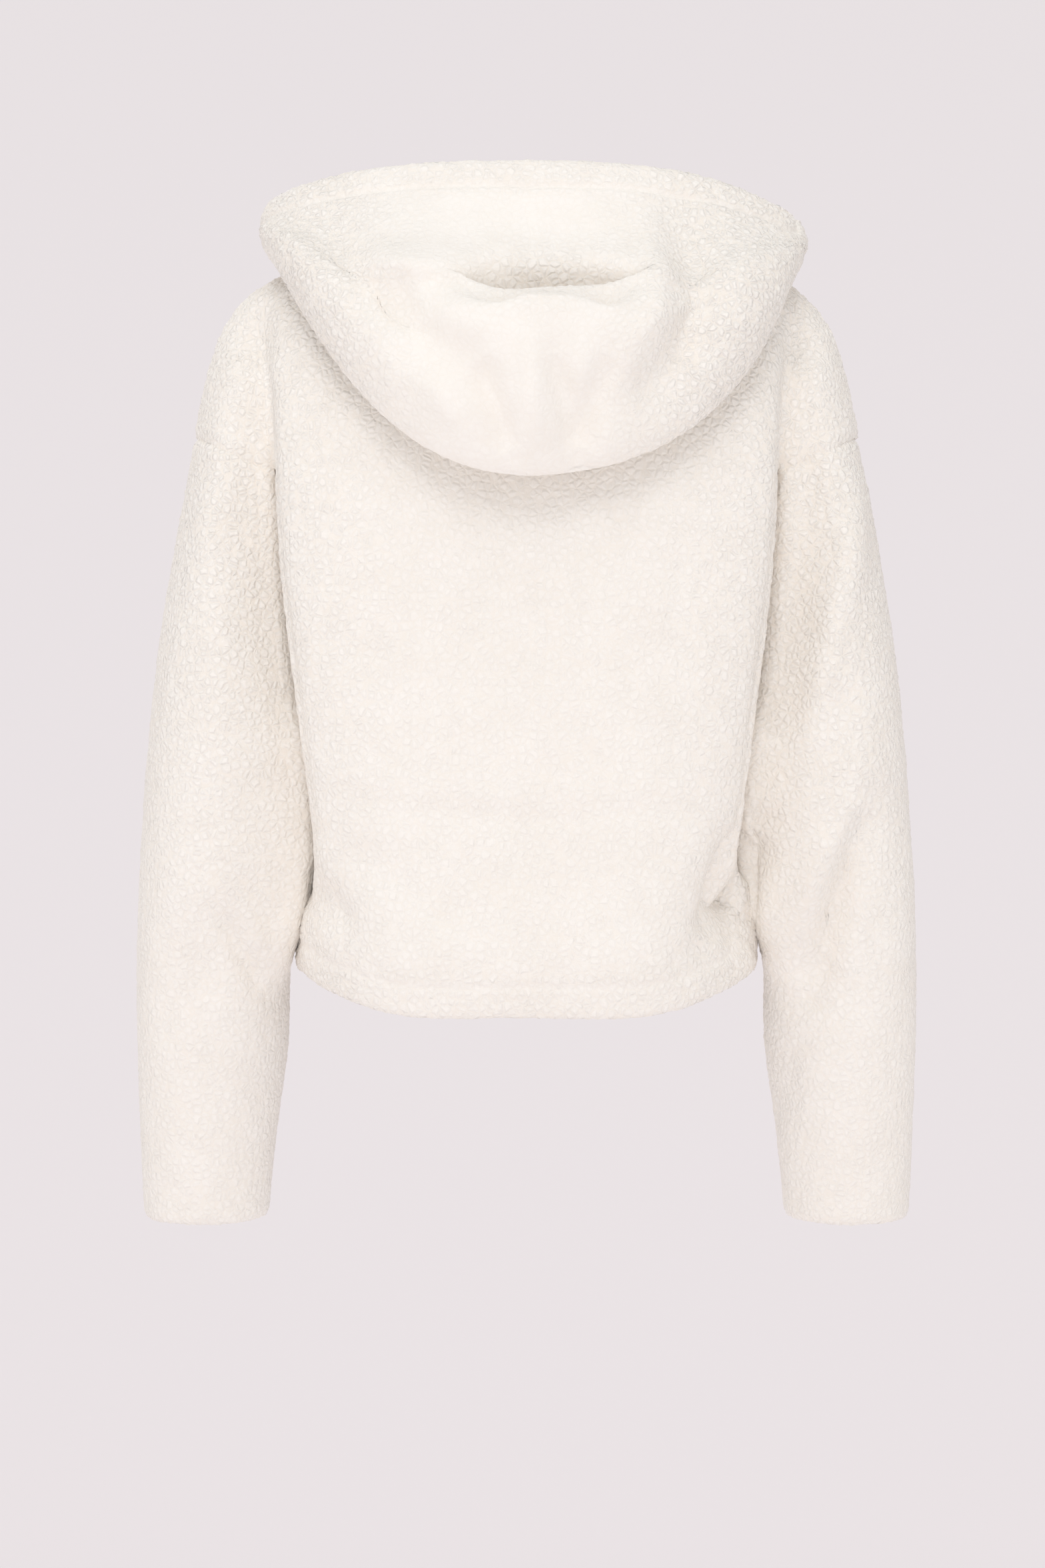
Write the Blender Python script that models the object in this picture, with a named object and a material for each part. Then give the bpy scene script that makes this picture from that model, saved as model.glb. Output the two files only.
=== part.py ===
"""Cropped zip-up hooded jacket in thick curled fleece, in the shape it keeps when it is worn with arms down.

Metres, +Z up. The front faces -Y and the wearer's left side is +X. The origin is on the centre plane, level
with the shoulder points, where the wearer's shoulders carry the jacket. Each cloth piece is a grid of points on
its outer face, worked out from the section tables below, and a wall of even thickness is built inwards from it.
"""

import math
from collections import namedtuple

import bpy
import numpy as np

# Driving sizes
WALL = 0.0035           # cloth and its pile together
SEAM_GAP = 0.0003       # between two pieces that are sewn together
ZIP_EDGE_X = 0.008      # front edge of each front panel, from the centre
NECK_SIDE = (0.076, 0.036)      # x and z where the shoulder seam meets the neckline
NECK_BACK = (0.062, 0.028)      # y and z of the neckline at the centre back
NECK_FRONT = (-0.075, -0.050)   # y and z of the neckline at the centre front
NECK_FRONT_RISE = 1.5           # how late the front neckline climbs towards the shoulder

# Columns of a body panel run from its centre line out to the armhole or side seam, and on over the dropped
# shoulder to the outer arm. A section names where each of these lines crosses it.
Section = namedtuple("Section", "name centre blade fold side arm outer")
NONE = None

BACK_SECTIONS = (
    Section("yoke", (0.0, 0.083, -0.012), (0.082, 0.046, 0.017), (0.150, 0.034, 0.002),
            (0.175, 0.022, -0.006), (0.191, 0.020, -0.020), (0.2075, 0.0, -0.040)),
    Section("blades", (0.0, 0.103, -0.068), (0.088, 0.086, -0.048), (0.158, 0.062, -0.045),
            (0.171, 0.035, -0.050), (0.1945, 0.040, -0.058), (0.2135, 0.0, -0.064)),
    Section("cap", (0.0, 0.114, -0.128), (0.090, 0.108, -0.120), (0.1575, 0.085, -0.110),
            (0.162, 0.042, -0.118), (0.1965, 0.056, -0.106), (0.2195, 0.0, -0.093)),
    Section("armhole", (0.0, 0.119, -0.184), (0.090, 0.115, -0.182), (0.1550, 0.089, -0.176),
            (0.149, 0.026, -0.180), NONE, NONE),
    Section("underarm", (0.0, 0.120, -0.243), (0.087, 0.116, -0.243), (0.1500, 0.087, -0.240),
            (0.131, 0.0, -0.238), NONE, NONE),
    Section("ribs", (0.0, 0.119, -0.312), (0.082, 0.115, -0.312), (0.1405, 0.084, -0.310),
            (0.125, 0.0, -0.310), NONE, NONE),
    Section("waist", (0.0, 0.118, -0.376), (0.078, 0.114, -0.376), (0.1325, 0.080, -0.373),
            (0.1275, 0.0, -0.371), NONE, NONE),
    Section("hips", (0.0, 0.121, -0.430), (0.078, 0.116, -0.429), (0.1305, 0.075, -0.420),
            (0.1455, 0.0, -0.408), NONE, NONE),
    Section("hem", (0.0, 0.112, -0.4690), (0.080, 0.107, -0.4680), (0.1280, 0.068, -0.4540),
            (0.1520, 0.0, -0.4400), NONE, NONE),
)
FRONT_SECTIONS = (
    Section("yoke", (0.008, -0.090, -0.085), (0.080, -0.042, 0.008), (0.149, -0.030, 0.000),
            (0.175, -0.021, -0.007), (0.191, -0.019, -0.021), (0.2075, 0.0, -0.040)),
    Section("chest", (0.008, -0.103, -0.125), (0.085, -0.076, -0.062), (0.156, -0.055, -0.050),
            (0.171, -0.034, -0.051), (0.1945, -0.039, -0.058), (0.2135, 0.0, -0.064)),
    Section("cap", (0.008, -0.112, -0.168), (0.088, -0.098, -0.137), (0.156, -0.076, -0.115),
            (0.162, -0.041, -0.118), (0.1965, -0.054, -0.106), (0.2195, 0.0, -0.093)),
    Section("armhole", (0.008, -0.117, -0.212), (0.088, -0.108, -0.196), (0.154, -0.082, -0.179),
            (0.149, -0.025, -0.180), NONE, NONE),
    Section("underarm", (0.008, -0.119, -0.258), (0.087, -0.112, -0.250), (0.151, -0.082, -0.241),
            (0.131, 0.0, -0.238), NONE, NONE),
    Section("ribs", (0.008, -0.118, -0.318), (0.084, -0.111, -0.315), (0.1455, -0.080, -0.311),
            (0.125, 0.0, -0.310), NONE, NONE),
    Section("waist", (0.008, -0.116, -0.375), (0.080, -0.109, -0.374), (0.1370, -0.077, -0.372),
            (0.1275, 0.0, -0.371), NONE, NONE),
    Section("hips", (0.008, -0.114, -0.424), (0.078, -0.107, -0.423), (0.1320, -0.072, -0.419),
            (0.1455, 0.0, -0.408), NONE, NONE),
    Section("hem", (0.008, -0.106, -0.457), (0.078, -0.100, -0.456), (0.1270, -0.066, -0.449),
            (0.1520, 0.0, -0.4400), NONE, NONE),
)
# The shoulder seam, from the neck to where the body's outer line begins, all on the plane y = 0.
SHOULDER = ((NECK_SIDE[0], NECK_SIDE[1]), (0.145, 0.019), (0.172, 0.008), (0.189, -0.005), (0.201, -0.022))

NECK_STEPS = 6                   # columns from the centre line to the blade line
BLADE_STEPS = (0.28, 0.55, 0.80, 1.0)           # columns from the blade line to the fold
FOLD_STEPS = (0.22, 0.48, 0.75, 1.0)            # columns from the fold to the armhole or side seam
ARM_STEPS = (0.5, 1.0)           # columns in each half of the dropped shoulder
ROW_STEPS = (2, 2, 2, 3, 3, 2, 2, 2, 3)         # rows of cells between one section and the next
SEAM_SECTION = 3                 # "cap": below it the armhole seam follows the side line
UNDERARM_SECTION = 5
""" Section numbers count the neckline and shoulder seam as section 0. """

# Sleeve rings by height: its inner and outer sides, the line that stands furthest back, and its depth.
Ring = namedtuple("Ring", "z inner ridge outer mid_y half_depth")
SLEEVE_RINGS = (
    Ring(-0.095, 0.130, 0.1955, 0.2200, 0.000, 0.058),
    Ring(-0.160, 0.130, 0.1980, 0.2320, 0.001, 0.066),
    Ring(-0.240, 0.133, 0.2000, 0.2430, 0.002, 0.070),
    Ring(-0.310, 0.1375, 0.2030, 0.2500, 0.002, 0.071),
    Ring(-0.380, 0.1420, 0.2060, 0.2550, 0.000, 0.068),
    Ring(-0.435, 0.1575, 0.2100, 0.2575, -0.006, 0.061),
    Ring(-0.490, 0.1570, 0.2110, 0.2580, -0.014, 0.056),
    Ring(-0.550, 0.1665, 0.2130, 0.2570, -0.025, 0.050),
    Ring(-0.600, 0.1725, 0.2140, 0.2560, -0.035, 0.0455),
    Ring(-0.620, 0.1735, 0.2140, 0.2550, -0.038, 0.0440),
)
CUFF_Z = -0.609
CUFF_SAG = 0.003                 # the cuff's back and front hang this much lower than its sides
SLEEVE_ROWS = 17
SLEEVE_BLEND = 0.30              # share of the sleeve's length in which the armhole's outline fades out

# Long folds that are pressed into the sleeves: from one height to another, the place round the sleeve in
# degrees from the outside towards the back, the fold's half width and its depth.
SleeveFold = namedtuple("SleeveFold", "side top bottom angle_top angle_bottom half_width depth")
SLEEVE_FOLDS = (
    SleeveFold(1, -0.395, -0.470, 118.0, 62.0, 0.016, 0.006),
    SleeveFold(-1, -0.130, -0.330, 72.0, 142.0, 0.015, 0.008),
    SleeveFold(-1, -0.345, -0.480, 40.0, 118.0, 0.020, 0.008),
    SleeveFold(1, -0.300, -0.430, 250.0, 215.0, 0.018, 0.008),
    SleeveFold(-1, -0.310, -0.430, 245.0, 215.0, 0.018, 0.008),
)

# Lines that run round the hood, from the neck seam to the rim of its face opening: their places at the centre
# back (y, z), beside the neck (x, y, z) and at the throat (x, y, z), and how late they climb from the back.
HoodLine = namedtuple("HoodLine", "name back side front climb lean bulge sink")
HOOD_LINES = (
    HoodLine("stand", (0.082, 0.034), (0.090, 0.000, 0.0470), (0.0125, -0.0795, -0.0450), 2.0, 0.0, 0.0, 0.0),
    HoodLine("under", (0.114, -0.045), (0.133, 0.003, 0.0350), (0.0130, -0.0860, -0.0395), 1.7, 0.0, 0.3, 0.0),
    HoodLine("tail", (0.143, -0.134), (0.1630, 0.006, 0.0225), (0.0135, -0.0915, -0.0330), 2.3, 0.5, 1.0, 0.0),
    HoodLine("back", (0.169, -0.088), (0.1725, 0.006, 0.0300), (0.0140, -0.0945, -0.0270), 2.2, 0.6, 0.8, 0.0),
    HoodLine("roll", (0.169, -0.038), (0.1750, 0.005, 0.0365), (0.0145, -0.0960, -0.0230), 2.2, 0.65, 0.4, 0.0),
    HoodLine("lip", (0.152, -0.007), (0.1760, 0.004, 0.0410), (0.0150, -0.0970, -0.0195), 2.2, 0.72, 0.0, -0.1),
    HoodLine("dip", (0.131, 0.006), (0.1765, 0.002, 0.0445), (0.0155, -0.0980, -0.0160), 2.2, 0.8, 0.0, 1.0),
    HoodLine("crown", (0.108, 0.030), (0.1762, 0.000, 0.0480), (0.0160, -0.0985, -0.0125), 2.4, 0.85, 0.0, 0.55),
    HoodLine("stitch", (0.084, 0.057), (0.1755, -0.003, 0.0520), (0.0165, -0.0990, -0.0090), 2.8, 0.9, 0.0, 0.1),
    HoodLine("rim", (0.070, 0.078), (0.1720, -0.008, 0.0620), (0.0200, -0.1000, -0.0030), 3.2, 1.0, 0.0, 0.0),
)
HOOD_ROW_STEPS = (1, 2, 3, 3, 2, 2, 2, 2, 2, 2)   # rows of cells between one hood line and the next
HOOD_TURNS = (0, 15, 30, 45, 60, 75, 90, 104, 118, 130, 141, 151, 161, 171, 180)
HOOD_FRONT_CLIMB = 1.4
HOOD_LEAN = (0.0120, -0.0165)    # the wearer's right half of the hood lies this much further out and lower
HOOD_BULGE = (0.0120, -0.0070)   # and hangs fuller between its tail and its side
HOOD_DIP = (0.0, -0.015, -0.022)    # how far the crown has sunk behind the lip, at its deepest
HOOD_DIP_X = -0.014
HOOD_DIP_HALF_WIDTH = 0.052
HOOD_NECK_GAP = 0.0004

# Zip, in its own directions: x across, t down along the zip, n out of the cloth's outer face
STRIP_SIDE_GAP = 0.0003
STRIP_TOP_ROW = 1                # the teeth end this many rows of cloth below the neckline
TAPE = (-0.0023, -0.0011)        # n of the tapes' two faces
CHAIN_HALF = 0.0030
CHAIN_FRONT = 0.0002             # n of the teeth's front
Box = namedtuple("Box", "x0 x1 t0 t1 n0 n1")
SLIDER_BOXES = (
    Box(-0.0045, 0.0045, -0.0034, 0.0076, 0.0005, 0.0017),      # front plate
    Box(-0.0036, 0.0036, -0.0034, 0.0076, -0.0040, -0.0028),    # back plate
    Box(-0.0012, 0.0012, -0.0028, -0.0004, -0.0028, 0.0005),    # post, just above the top tooth
    Box(-0.0010, 0.0010, -0.0008, 0.0002, 0.0017, 0.0049),      # upper foot of the bridge
    Box(-0.0010, 0.0010, 0.0038, 0.0048, 0.0017, 0.0049),       # lower foot
    Box(-0.0010, 0.0010, 0.0002, 0.0038, 0.0039, 0.0049),       # bridge
)
PULL_BOXES = (
    Box(-0.0035, 0.0035, 0.00135, 0.00265, 0.00215, 0.00345),   # bar under the bridge
    Box(-0.0035, -0.0018, 0.00265, 0.0066, 0.00215, 0.00345),   # sides of the eye
    Box(0.0018, 0.0035, 0.00265, 0.0066, 0.00215, 0.00345),
    Box(-0.0035, 0.0035, 0.0066, 0.0250, 0.00215, 0.00345),     # tab
)
BOTTOM_BOXES = (
    Box(-0.0048, 0.0048, -0.0080, -0.0004, 0.0005, 0.0017),     # front of the retaining box
    Box(-0.0048, 0.0048, -0.0080, -0.0004, -0.0040, -0.0028),   # back
    Box(-0.0048, 0.0048, 0.0008, 0.0020, -0.0040, 0.0017),      # floor, just under the teeth
    Box(-0.0048, 0.0048, -0.0004, 0.0008, 0.0005, 0.0017),
    Box(-0.0048, 0.0048, -0.0004, 0.0008, -0.0040, -0.0028),
)


def point(*values):
    return np.array(values, float)


def spline_through(points, steps, before, after):
    """Points on one smooth curve through points, with steps[i] the places to read between i and i + 1.

    before and after are where the curve would come from and go on to. points may also be whole rows of points.
    """
    track = np.array([before, *points, after])
    spread = np.linalg.norm(np.diff(track, axis=0), axis=-1)
    gaps = np.sqrt(spread.reshape(len(spread), -1).mean(axis=1))
    slopes = np.diff(track, axis=0) / gaps.reshape(-1, *[1] * (track.ndim - 1))
    share = (gaps[:-1] / (gaps[:-1] + gaps[1:])).reshape(-1, *[1] * (track.ndim - 1))
    tangents = slopes[:-1] * (1 - share) + slopes[1:] * share
    found = [track[1]]
    for i, places in enumerate(steps):
        start, end, gap = track[i + 1], track[i + 2], gaps[i + 1]
        for t in places:
            found.append(
                (2 * t**3 - 3 * t**2 + 1) * start + (t**3 - 2 * t**2 + t) * gap * tangents[i]
                + (3 * t**2 - 2 * t**3) * end + (t**3 - t**2) * gap * tangents[i + 1]
            )
    return np.array(found)


def even(count):
    return [(i + 1) / count for i in range(count)]


def mirrored(p, axis):
    """The same point on the other side of the plane through the origin, or through the zip's edge."""
    q = np.array(p, float)
    q[axis] = -q[axis]
    return q


def neckline(turn):
    """The neckline's point at a turn in degrees, from 0 at the throat through 90 at the shoulder to 180."""
    s, c = math.sin(math.radians(turn)), math.cos(math.radians(turn))
    side_x, side_z = NECK_SIDE
    if turn > 90:
        return point(side_x * s, -NECK_BACK[0] * c, NECK_BACK[1] + (side_z - NECK_BACK[1]) * s**2)
    return point(
        ZIP_EDGE_X + (side_x - ZIP_EDGE_X) * s,
        NECK_FRONT[0] * c,
        NECK_FRONT[1] + (side_z - NECK_FRONT[1]) * s**NECK_FRONT_RISE,
    )


def top_row(back):
    """Section 0: half the neckline, then the shoulder seam out to the body's outer line."""
    turns = [90 * i / NECK_STEPS for i in range(NECK_STEPS + 1)]
    row = [neckline(180 - t if back else t) for t in turns]
    seam = [point(x, 0.0, z) for x, z in SHOULDER]
    steps = (BLADE_STEPS, FOLD_STEPS, ARM_STEPS, ARM_STEPS)
    before, after = 2 * seam[0] - seam[1], 2 * seam[-1] - seam[-2]
    row.extend(spline_through(seam, steps, before, after)[1:])
    return np.array(row)


def section_row(section):
    """One section's points, from the centre line to the side seam, or on to the outer line where it has one."""
    knots = [point(*p) for p in (section.centre, section.blade, section.fold, section.side)]
    steps = [even(NECK_STEPS), BLADE_STEPS, FOLD_STEPS]
    if section.arm:
        knots += [point(*section.arm), point(*section.outer)]
        steps += [ARM_STEPS, ARM_STEPS]
        after = mirrored(section.arm, 1)
    elif section.side[1]:
        after = 2 * knots[-1] - knots[-2]
    else:
        after = mirrored(section.fold, 1)
    before = knots[1] * (-1, 1, 1) + (2 * section.centre[0], 0, 0)
    return spline_through(knots, steps, before, after)


def half_panel(sections, back):
    """Rows and columns of a half panel's outer points, +X side. Below the armhole's cap a row ends at the side."""
    main = NECK_STEPS + len(BLADE_STEPS) + len(FOLD_STEPS) + 1
    rows = [top_row(back)] + [section_row(s) for s in sections]
    steps = [even(n) for n in ROW_STEPS]
    body = [r[:main] for r in rows]
    grid = spline_through(body, steps, 2 * body[0] - body[1], 2 * body[-1] - body[-2])
    cap_rows = sum(ROW_STEPS[:SEAM_SECTION])
    upper = rows[: SEAM_SECTION + 1]
    flap = [r[main:] for r in upper]
    shoulder = spline_through(flap, steps[:SEAM_SECTION], 2 * flap[0] - flap[1], 2 * flap[-1] - flap[-2])
    grid[sum(ROW_STEPS[:UNDERARM_SECTION]):, -1, 1] = 0
    full = np.full((len(grid), main + shoulder.shape[1], 3), np.nan)
    full[:, :main] = grid
    full[: cap_rows + 1, main:] = shoulder
    return full


def cell_is_cloth(row, column):
    """Whether a body panel has cloth in this cell, counted from the centre line."""
    main = NECK_STEPS + len(BLADE_STEPS) + len(FOLD_STEPS)
    return column < main or row < sum(ROW_STEPS[:SEAM_SECTION])


def normals_of(grid, closed=False):
    """Unit normals of a grid of points, from its neighbours along rows and columns."""
    if closed:
        across = np.roll(grid, -1, axis=1) - np.roll(grid, 1, axis=1)
    else:
        across = neighbour_difference(grid, 1)
    down = neighbour_difference(grid, 0)
    normal = np.cross(across, down)
    return normal / np.linalg.norm(normal, axis=2, keepdims=True)


def neighbour_difference(grid, axis):
    """Differences along one axis, one-sided where the grid or its cloth ends."""
    ahead = np.diff(grid, axis=axis)
    pad = [(0, 0)] * 3
    pad[axis] = (0, 1)
    forward = np.pad(ahead, pad, constant_values=np.nan)
    pad[axis] = (1, 0)
    behind = np.pad(ahead, pad, constant_values=np.nan)
    one_side = np.where(np.isnan(forward), behind, forward)
    other_side = np.where(np.isnan(behind), forward, behind)
    return one_side + other_side


def softened(normal):
    """Normals averaged with their neighbours, so that the inside of a tight fold does not cross itself."""
    known = np.pad(np.nan_to_num(normal), ((1, 1), (1, 1), (0, 0)))
    total = 2 * known[1:-1, 1:-1] + known[2:, 1:-1] + known[:-2, 1:-1] + known[1:-1, 2:] + known[1:-1, :-2]
    total[np.isnan(normal)] = np.nan
    return total / np.linalg.norm(total, axis=2, keepdims=True)


def outward_normals(outer, outwards, closed=False, flat_axis=None, passes=0):
    """Normals that face out. outwards is one point's known outside; on the seams in the plane across
    flat_axis they stay in that plane, so that two pieces meet there without crossing."""
    normal = normals_of(outer, closed)
    for _ in range(passes):
        normal = softened(normal)
    i, j, direction = outwards
    if np.dot(normal[i, j], direction) < 0:
        normal = -normal
    if flat_axis is not None:
        on_seam = np.abs(outer[..., flat_axis]) <= SEAM_GAP
        normal[..., flat_axis][on_seam] = 0
        for r, c in np.argwhere(on_seam & (np.linalg.norm(normal, axis=2) < 0.2)):
            beside = -1 if c else 1
            normal[r, c] = normal[r, c + beside] + normal[r + 1, c]
        normal /= np.linalg.norm(normal, axis=2, keepdims=True)
    return normal


def edge_rank(p):
    """A number that orders the ends of a seam edge alike in both pieces that meet there."""
    return p[2] - 0.37 * abs(p[0]) + 0.21 * p[1]


def add_wall(name, outer, normal, finish, closed=False, is_cloth=None, wall=WALL):
    """One closed cloth solid from its outer points and the normals there."""
    rows, columns = outer.shape[:2]
    inner = outer - wall * normal
    wrap = columns if closed else columns - 1
    cells = [
        (r, c) for r in range(rows - 1) for c in range(wrap) if is_cloth is None or is_cloth(r, c)
    ]
    index, points, faces, edges = {}, [], [], {}

    def vertex(side, r, c):
        key = (side, r, c % columns)
        if key not in index:
            index[key] = len(points)
            points.append((outer, inner)[side][r, c % columns])
        return index[key]

    for r, c in cells:
        corners = ((r, c), (r + 1, c), (r + 1, c + 1), (r, c + 1))
        spans = [np.linalg.norm(outer[a[0], a[1] % columns] - outer[b[0], b[1] % columns])
                 for a, b in ((corners[0], corners[2]), (corners[1], corners[3]))]
        turn = 0 if spans[0] <= spans[1] else 1
        around = corners[turn:] + corners[:turn]
        for three in (around[:3], around[2:] + around[:1]):
            faces.append([vertex(0, *p) for p in three])
            faces.append([vertex(1, *p) for p in reversed(three)])
        for a, b in zip(corners, corners[1:] + corners[:1]):
            a, b = (a[0], a[1] % columns), (b[0], b[1] % columns)
            if (b, a) in edges:
                del edges[(b, a)]
            else:
                edges[(a, b)] = True
    for a, b in edges:
        ring = [vertex(0, *b), vertex(0, *a), vertex(1, *a), vertex(1, *b)]
        first = 1 if edge_rank(outer[a]) > edge_rank(outer[b]) else 0
        faces.append([ring[first], ring[first + 1], ring[first + 2]])
        faces.append([ring[first + 2], ring[(first + 3) % 4], ring[first]])
    return add_solid(name, points, faces, finish)


def add_solid(name, points, faces, finish):
    """A named object from points and faces, turned to face outwards, and shaded smooth."""
    mesh = bpy.data.meshes.new(name)
    mesh.from_pydata([tuple(p) for p in points], [], faces)
    mesh.validate()
    corners = np.array([[points[v] for v in (f[0], f[k], f[k + 1])] for f in faces for k in range(1, len(f) - 1)])
    if np.einsum("ij,ij->i", corners[:, 0], np.cross(corners[:, 1], corners[:, 2])).sum() < 0:
        mesh.flip_normals()
    mesh.shade_smooth()
    mesh.set_sharp_from_angle(angle=math.radians(50))
    mesh.materials.append(finish)
    thing = bpy.data.objects.new(name, mesh)
    bpy.context.scene.collection.objects.link(thing)
    return thing


def material(name, colour, roughness, metallic=0.0):
    made = bpy.data.materials.new(name)
    made.use_nodes = True
    shader = made.node_tree.nodes["Principled BSDF"]
    shader.inputs["Base Color"].default_value = (*colour, 1.0)
    shader.inputs["Roughness"].default_value = roughness
    shader.inputs["Metallic"].default_value = metallic
    return made


def on_side(grid, side):
    """A +X half turned into the half on the given side."""
    return grid * (side, 1, 1)


def parted(grid, gap_x=0.0, gap_y=0.0, side_y=0.0):
    """The grid moved back by half a seam gap where it meets the centre plane or the plane of the side seams."""
    moved = grid.copy()
    if gap_x:
        at_centre = np.abs(moved[..., 0]) < 1e-6
        moved[..., 0][at_centre] = gap_x
    if gap_y:
        at_side = np.abs(moved[..., 1]) < 1e-6
        moved[..., 1][at_side] = gap_y * side_y
    return moved


def armhole_cells():
    """The places (row, column) of a half panel's armhole edge, from the outer line to the underarm."""
    main = NECK_STEPS + len(BLADE_STEPS) + len(FOLD_STEPS)
    last = main + 2 * len(ARM_STEPS)
    cap = sum(ROW_STEPS[:SEAM_SECTION])
    under = sum(ROW_STEPS[:UNDERARM_SECTION])
    return [(cap, c) for c in range(last, main - 1, -1)] + [(r, main) for r in range(cap + 1, under + 1)]


def armhole(back, front):
    """The armhole seam as one closed ring: outer line, back edge, underarm, front edge, and round again."""
    cells = armhole_cells()
    ring = np.array([back[p] for p in cells] + [front[p] for p in cells[-2:0:-1]])
    ring[0, 1] = 0
    ring[len(cells) - 1, 1] = 0
    return ring


def make_body_and_sleeves(fleece):
    """The back in one piece from side to side, the two fronts and the two sleeves."""
    back = parted(half_panel(BACK_SECTIONS, True), gap_y=SEAM_GAP / 2, side_y=1)
    front = parted(half_panel(FRONT_SECTIONS, False), gap_y=SEAM_GAP / 2, side_y=-1)
    back_out = outward_normals(back, (12, 0, (0, 1, 0)), flat_axis=1, passes=1)
    front_out = outward_normals(front, (12, 0, (0, -1, 0)), flat_axis=1, passes=1)
    back_out[:, 0, 0] = 0
    ring = armhole(back, front)
    cells = armhole_cells()
    body_out = np.array([back_out[p] for p in cells] + [front_out[p] for p in cells[-2:0:-1]])
    sleeves = {}
    for side in (1, -1):
        grid = sleeve_grid(ring, side)
        sleeve_out = outward_normals(grid, (SLEEVE_ROWS // 2, 0, (1, 0, 0)), closed=True)
        shared = body_out + sleeve_out[0]
        shared[0, 1] = shared[len(cells) - 1, 1] = 0
        sleeve_out[0] = shared / np.linalg.norm(shared, axis=1, keepdims=True)
        sleeves[side] = (grid, sleeve_out)
    mean_shared = sleeves[1][1][0] + sleeves[-1][1][0]
    mean_shared /= np.linalg.norm(mean_shared, axis=1, keepdims=True)
    for i, p in enumerate(cells):
        back_out[p] = mean_shared[i]
        front_out[p] = mean_shared[-i]
    whole = np.concatenate([on_side(back, -1)[:, :0:-1], back], axis=1)
    whole_out = np.concatenate([on_side(back_out, -1)[:, :0:-1], back_out], axis=1)
    centre = back.shape[1] - 1
    add_wall(
        "back", whole, whole_out, fleece,
        is_cloth=lambda r, c: cell_is_cloth(r, c - centre if c >= centre else centre - 1 - c),
    )
    for name, side in (("front_left", 1), ("front_right", -1)):
        add_wall(name, on_side(front, side), on_side(front_out, side), fleece, is_cloth=cell_is_cloth)
    for name, side in (("sleeve_left", 1), ("sleeve_right", -1)):
        grid, out = sleeves[side]
        out[0] = mean_shared
        step = (grid[1] - grid[0]) / np.linalg.norm(grid[1] - grid[0], axis=1, keepdims=True)
        grid[0] += SEAM_GAP * step
        add_wall(name, on_side(grid, side), on_side(out, side), fleece, closed=True)
    return front


def sleeve_ring(z):
    """The sleeve's inner, ridge and outer x, and its middle y and half depth, at a height."""
    heights = [-r.z for r in SLEEVE_RINGS]
    return [np.interp(-z, heights, [getattr(r, key) for r in SLEEVE_RINGS]) for key in Ring._fields[1:]]


def sleeve_point(angle, z):
    """A point of the sleeve at an angle in degrees, from 0 outside through 90 at the back to 180 inside."""
    inner, ridge, outer, mid_y, half_depth = sleeve_ring(z)
    c, s = math.cos(math.radians(angle)), math.sin(math.radians(angle))
    reach = outer - ridge if c > 0 else ridge - inner
    return point(ridge + reach * c, mid_y + half_depth * s, z)


def sleeve_angle(p):
    """The angle at which a point stands round the sleeve, at its own height."""
    inner, ridge, outer, mid_y, half_depth = sleeve_ring(p[2])
    reach = outer - ridge if p[0] > ridge else ridge - inner
    return math.degrees(math.atan2((p[1] - mid_y) / half_depth, (p[0] - ridge) / reach)) % 360


def fold_depth(side, angle, z):
    """How deep the long folds press into a sleeve at an angle and height."""
    total = 0.0
    for fold in SLEEVE_FOLDS:
        if fold.side != side:
            continue
        along = (z - fold.top) / (fold.bottom - fold.top)
        place = fold.angle_top + (fold.angle_bottom - fold.angle_top) * along
        radius = 0.055
        away = radius * math.radians((angle - place + 180) % 360 - 180) / fold.half_width
        fade = math.exp(-((2 * along - 1) ** 4))
        total += fold.depth * fade * math.exp(-away * away)
    return total


def sleeve_grid(ring, side):
    """A tube from the armhole seam down to the cuff, one ring of points for each row."""
    count = len(ring)
    start = [sleeve_angle(p) for p in ring]
    start[0] = 0.0
    even_angle = [360 * k / count for k in range(count)]
    rows = []
    for i in range(SLEEVE_ROWS + 1):
        v = i / SLEEVE_ROWS
        settle = min(1.0, v / SLEEVE_BLEND)
        settle = settle * settle * (3 - 2 * settle)
        row = []
        for k in range(count):
            angle = start[k] + (even_angle[k] - start[k]) * settle
            sag = CUFF_SAG * abs(math.sin(math.radians(angle)))
            top_z = ring[k][2]
            z = top_z + (CUFF_Z - sag - top_z) * v
            offset = (ring[k] - sleeve_point(start[k], top_z)) * (1 - settle)
            p = sleeve_point(angle, z) + offset
            inwards = sleeve_point(angle + 180, z) - sleeve_point(angle, z)
            p += fold_depth(side, angle, z) * inwards / np.linalg.norm(inwards) * settle
            row.append(p)
        rows.append(row)
    return np.array(rows)


def hood_line(line, turn, side):
    """A hood line's point at a turn in degrees, from 0 at the throat through 90 to 180 at the centre back."""
    s, c = math.sin(math.radians(turn)), math.cos(math.radians(turn))
    side_x, side_y, side_z = line.side
    if side < 0:
        side_x += HOOD_LEAN[0] * line.lean
        side_z += HOOD_LEAN[1] * line.lean
    if turn > 90:
        back_y, back_z = line.back
        p = point(side_x * s, side_y - (back_y - side_y) * c, back_z + (side_z - back_z) * s**line.climb)
        if side < 0:
            share = line.bulge * math.sin(math.radians(2 * turn - 180)) ** 2
            p += (share * HOOD_BULGE[0], 0, share * HOOD_BULGE[1])
        off = (side * p[0] - HOOD_DIP_X) / HOOD_DIP_HALF_WIDTH
        p += line.sink * math.exp(-off * off) * point(*HOOD_DIP)
        return p
    front_x, front_y, front_z = line.front
    rise = s**HOOD_FRONT_CLIMB
    return point(
        front_x + (side_x - front_x) * s, side_y + (front_y - side_y) * c, front_z + (side_z - front_z) * rise
    )


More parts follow.
